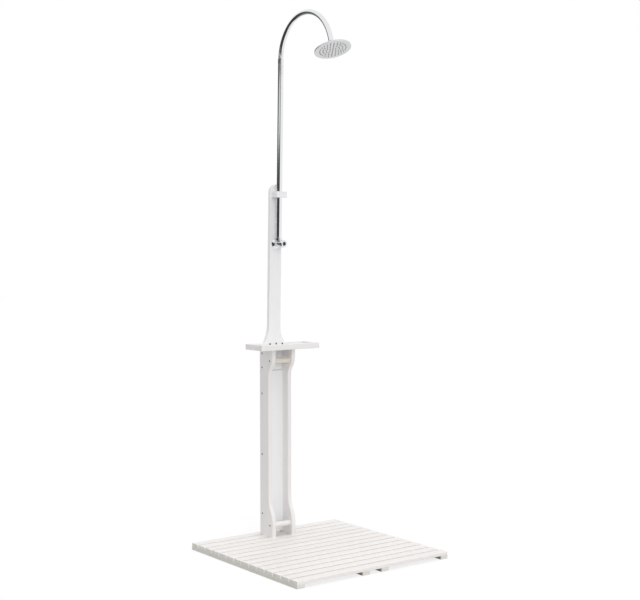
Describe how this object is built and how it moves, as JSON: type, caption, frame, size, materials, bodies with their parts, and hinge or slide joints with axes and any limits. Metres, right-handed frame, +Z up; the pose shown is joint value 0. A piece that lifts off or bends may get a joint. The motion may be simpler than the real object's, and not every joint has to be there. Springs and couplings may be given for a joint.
{
  "type": "outdoor shower post",
  "caption": "Freestanding garden shower: slatted white deck, open-fronted column with a tray, leaning mast board, quarter-turn tap, gooseneck pipe and swivelling round head.",
  "frame": {"origin": "on the ground, under the middle of the square deck", "axes": "+Z up; the shower faces -Y, the hose joins from +Y, +X is to the right as seen from the front"},
  "size_m": [0.76, 0.76, 2.2638],
  "materials": {
    "painted_wood": "white satin paint over timber",
    "chrome": "polished",
    "brass": "plain turned",
    "screw_steel": "plain",
    "face_plate": "satin",
    "nozzle_rubber": "matt",
    "seal_rubber": "matt",
    "seat_plastic": "plain",
    "dark_plastic": "gloss",
    "ceramic": "polished ceramic"
  },
  "bodies": {
    "stand": {"slat_01": "painted_wood", "slat_02": "painted_wood", "slat_03": "painted_wood", "slat_04": "painted_wood", "slat_05": "painted_wood", "slat_06": "painted_wood", "slat_07": "painted_wood", "slat_08": "painted_wood", "slat_09": "painted_wood", "slat_10": "painted_wood", "slat_11": "painted_wood", "slat_12": "painted_wood", "slat_13": "painted_wood", "slat_14": "painted_wood", "bearer_1": "painted_wood", "bearer_2": "painted_wood", "bearer_3": "painted_wood", "bearer_4": "painted_wood", "slat_screws": "screw_steel", "deck_bolts": "screw_steel", "left_side_panel": "painted_wood", "right_side_panel": "painted_wood", "back_panel": "painted_wood", "upper_rail": "painted_wood", "lower_rail": "painted_wood", "column_screws": "screw_steel", "tray_front_rim": "painted_wood", "tray_rear_rim": "painted_wood", "tray_left_rim": "painted_wood", "tray_right_rim": "painted_wood", "tray_floor": "painted_wood", "tray_screws": "screw_steel", "mast_board": "painted_wood", "pipe_block": "painted_wood", "block_screws": "screw_steel", "riser_pipe": "chrome", "coupling_sleeve": "chrome", "gooseneck_pipe": "chrome", "wall_flange": "chrome", "valve_body": "chrome", "ceramic_seat_disc": "ceramic", "valve_cartridge": "brass", "union_nut": "chrome", "union_seal": "seal_rubber", "back_washer": "seal_rubber", "backnut": "brass", "hose_connector": "brass", "ball_spigot": "chrome"},
    "knob": {"valve_knob": "chrome", "knob_screw": "screw_steel", "knob_cap": "dark_plastic", "valve_spindle": "brass", "ceramic_turning_disc": "ceramic"},
    "head_tilt_ring": {"ball_seat_ring": "seat_plastic"},
    "head_side_ring": {"ball_seal": "seal_rubber"},
    "head": {"swivel_nut": "chrome", "head_shell": "chrome", "nozzle_mat": "nozzle_rubber", "face_plate": "face_plate"}
  },
  "joints": [
    {"name": "knob_turn", "type": "hinge", "parent": "stand", "child": "knob", "pos_m": [0, 0.30136, 1.29485], "axis": [0, -0.9997, -0.0244], "range_deg": [0, 90]},
    {"name": "head_tilt", "type": "hinge", "parent": "stand", "child": "head_tilt_ring", "pos_m": [0, -0.09764, 2.09696], "axis": [1, 0, 0], "range_deg": [-11, 24]},
    {"name": "head_side_tilt", "type": "hinge", "parent": "head_tilt_ring", "child": "head_side_ring", "pos_m": [0, -0.09764, 2.09696], "axis": [0, 0.9397, -0.342], "range_deg": [-17, 17]},
    {"name": "head_spin", "type": "hinge", "parent": "head_side_ring", "child": "head", "pos_m": [0, -0.09764, 2.09696], "axis": [0, 0.342, 0.9397], "continuous": true}
  ]
}
